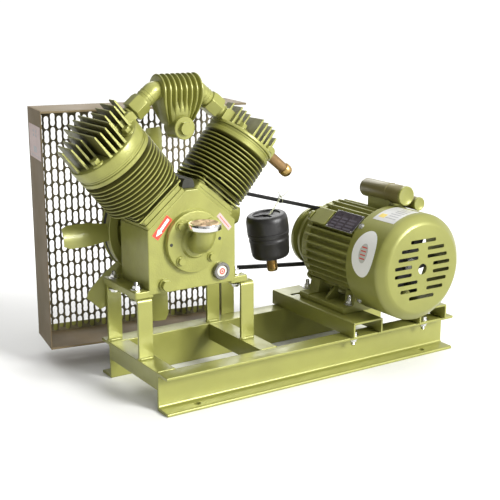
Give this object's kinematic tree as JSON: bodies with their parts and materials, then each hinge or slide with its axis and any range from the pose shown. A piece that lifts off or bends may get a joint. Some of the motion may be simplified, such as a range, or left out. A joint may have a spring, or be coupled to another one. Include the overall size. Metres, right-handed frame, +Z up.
{
  "type": "belt-driven two-cylinder air compressor",
  "caption": "V belt drive set: an electric motor turns a finned V-type air compressor through a V belt and fan-bladed flywheel, on a channel base with a perforated guard.",
  "frame": {"origin": "middle of the whole set's bounding box in plan, on the floor the rails stand on", "axes": "+X along the base rails from the compressor to the motor, +Y along both shafts from the filler side to the flywheel side, +Z up"},
  "size_m": [0.8226, 0.5266, 0.606],
  "materials": {
    "olive_paint": "gloss enamel",
    "machined_steel": "machined",
    "cast_iron": "dark cast",
    "aluminium": "as cast",
    "chrome": "polished plating",
    "brass": "satin",
    "rubber": "matt",
    "black_plastic": "semi-gloss",
    "clear_glass": "clear in a plated ring",
    "copper_winding": "varnished laminations and winding"
  },
  "bodies": {
    "base": {"front_rail": "olive_paint", "rear_rail": "olive_paint", "left_cross_member": "olive_paint", "middle_cross_member": "olive_paint", "front_left_leg": "olive_paint", "front_right_leg": "olive_paint", "rear_left_leg": "olive_paint", "rear_right_leg": "olive_paint", "left_motor_rail": "olive_paint", "right_motor_rail": "olive_paint", "guard_mesh_panel": "olive_paint", "guard_left_side": "olive_paint", "guard_top_flange": "olive_paint", "guard_bottom_flange": "olive_paint", "guard_bracket": "olive_paint", "crankcase": "olive_paint", "front_cover": "olive_paint", "front_bearing": "machined_steel", "rear_bearing_housing": "olive_paint", "rear_bearing": "machined_steel", "drain_plug": "olive_paint", "sight_glass": "clear_glass", "breather_block": "cast_iron", "left_cylinder": "olive_paint", "right_cylinder": "olive_paint", "left_valve_plate": "machined_steel", "right_valve_plate": "machined_steel", "left_head": "olive_paint", "right_head": "olive_paint", "intercooler": "olive_paint", "intercooler_plug": "olive_paint", "left_cooler_pipe": "olive_paint", "right_cooler_pipe": "olive_paint", "left_union_nut": "olive_paint", "right_union_nut": "olive_paint", "outlet_pipe": "brass", "motor_frame": "olive_paint", "fan_end_shield": "olive_paint", "drive_end_shield": "olive_paint", "fan_end_bearing": "machined_steel", "drive_end_bearing": "machined_steel", "stator": "copper_winding", "fan_cover": "olive_paint", "start_capacitor": "olive_paint", "run_capacitor": "olive_paint", "v_belt": "rubber", "intake_filter": "black_plastic", "filter_stub": "brass"},
    "crank": {"crankshaft": "machined_steel", "flywheel": "olive_paint", "left_rod_big_end": "aluminium", "right_rod_big_end": "aluminium"},
    "left_piston_set": {"left_piston": "aluminium", "left_rod_shank": "aluminium"},
    "right_piston_set": {"right_piston": "aluminium", "right_rod_shank": "aluminium"},
    "motor_rotor": {"rotor_and_shaft": "machined_steel", "motor_pulley": "olive_paint", "cooling_fan": "black_plastic"},
    "cap": {"filler_cap": "chrome"}
  },
  "joints": [
    {"name": "crank_spin", "type": "hinge", "parent": "base", "child": "crank", "pos_m": [-0.1687, 0.0807, 0.294], "axis": [0, 1, 0], "continuous": true},
    {"name": "motor_spin", "type": "hinge", "parent": "base", "child": "motor_rotor", "pos_m": [0.2593, 0.0807, 0.215], "axis": [0, 1, 0], "continuous": true},
    {"name": "left_piston_slide", "type": "slide", "parent": "base", "child": "left_piston_set", "axis": [-0.6428, 0, 0.766], "range_m": [-0.005, 0.0449]},
    {"name": "right_piston_slide", "type": "slide", "parent": "base", "child": "right_piston_set", "axis": [0.6428, 0, 0.766], "range_m": [-0.005, 0.0449]},
    {"name": "cap_lift", "type": "slide", "parent": "base", "child": "cap", "axis": [0, 0, 1], "range_m": [0, 0.06]}
  ],
  "couplings": [
    {"joint": "motor_spin", "follows": "crank_spin", "ratio": 1.5758}
  ]
}
